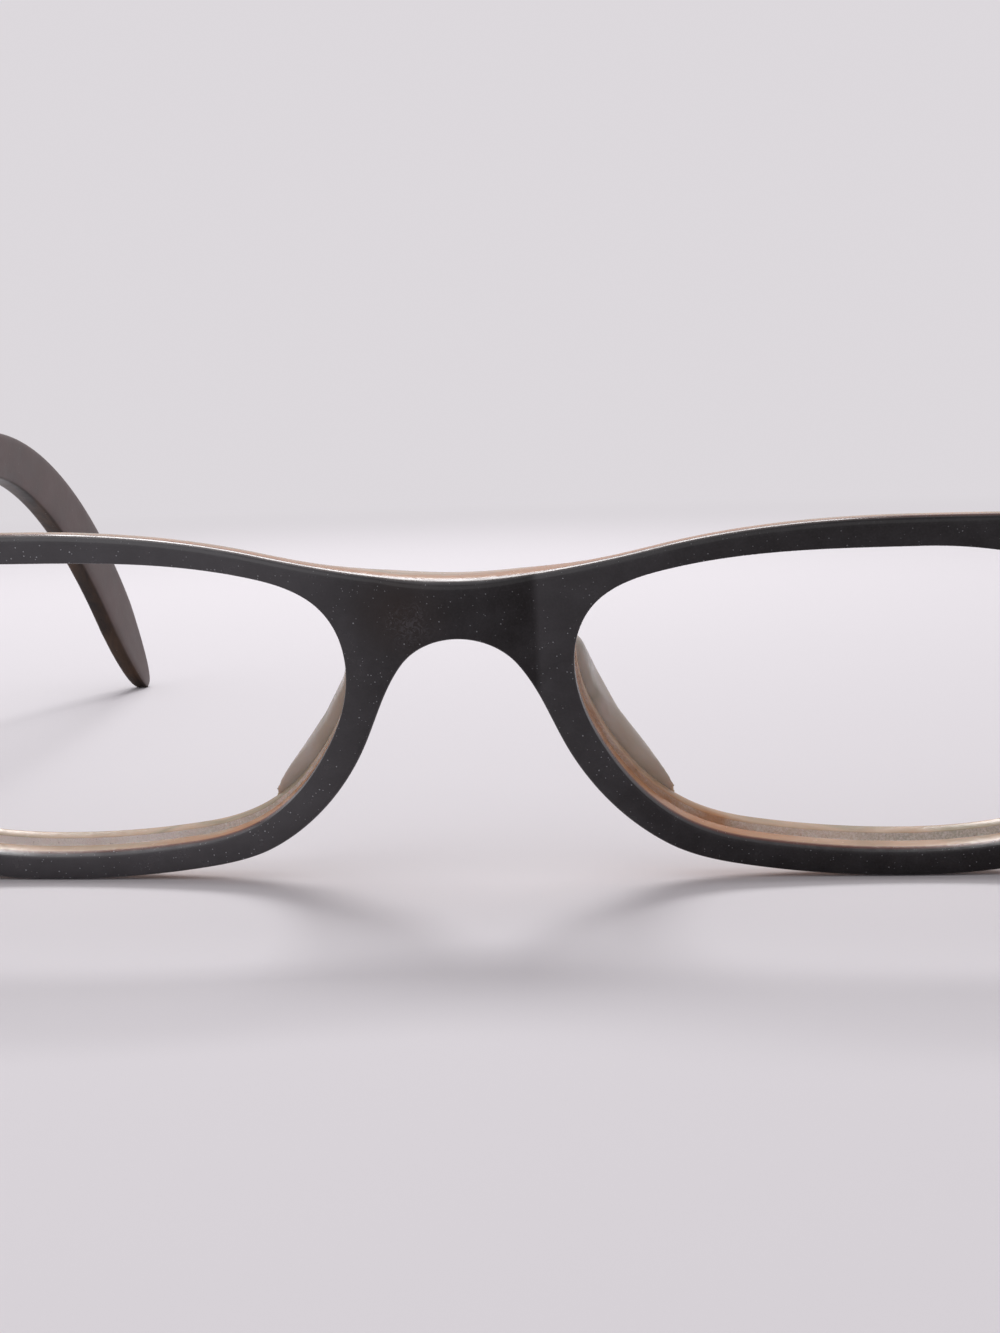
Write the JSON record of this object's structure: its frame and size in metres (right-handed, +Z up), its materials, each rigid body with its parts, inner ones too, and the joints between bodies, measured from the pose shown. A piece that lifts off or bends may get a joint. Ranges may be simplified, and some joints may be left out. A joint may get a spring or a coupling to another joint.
{
  "type": "broken eyeglasses",
  "caption": "Old laminated acetate eyeglasses, black over cream horn, with both lenses out and one temple lost; the temple that is left folds on its hinge.",
  "frame": {"origin": "middle of the overall box on the floor that the glasses stand on", "axes": "+X along the brow towards the wearer's left, +Y from the front back to the temple's tip, +Z up"},
  "size_m": [0.1412, 0.129, 0.039],
  "materials": {
    "black_acetate": "old polish under dust and fine scuffs",
    "horn_acetate": "streaked horn colour, dull polish",
    "dark_acetate": "dull brown-black polish",
    "hinge_metal": "dulled nickel silver",
    "screw_metal": "dulled steel",
    "wire_metal": "drawn wire"
  },
  "bodies": {
    "front": {"front_black_layer": "black_acetate", "front_horn_layer": "horn_acetate", "nose_pad_right": "horn_acetate", "nose_pad_left": "horn_acetate", "front_hinge_leaf_right": "hinge_metal", "front_hinge_leaf_left": "hinge_metal", "hinge_screw_right": "screw_metal"},
    "temple": {"temple_right": "dark_acetate", "temple_core_wire_right": "wire_metal", "temple_hinge_leaf_right": "hinge_metal"}
  },
  "joints": [
    {"name": "temple_hinge", "type": "hinge", "parent": "front", "child": "temple", "pos_m": [-0.0656, -0.05579, 0.02638], "axis": [0, 0.1386, -0.9903], "range_deg": [0, 85]}
  ]
}
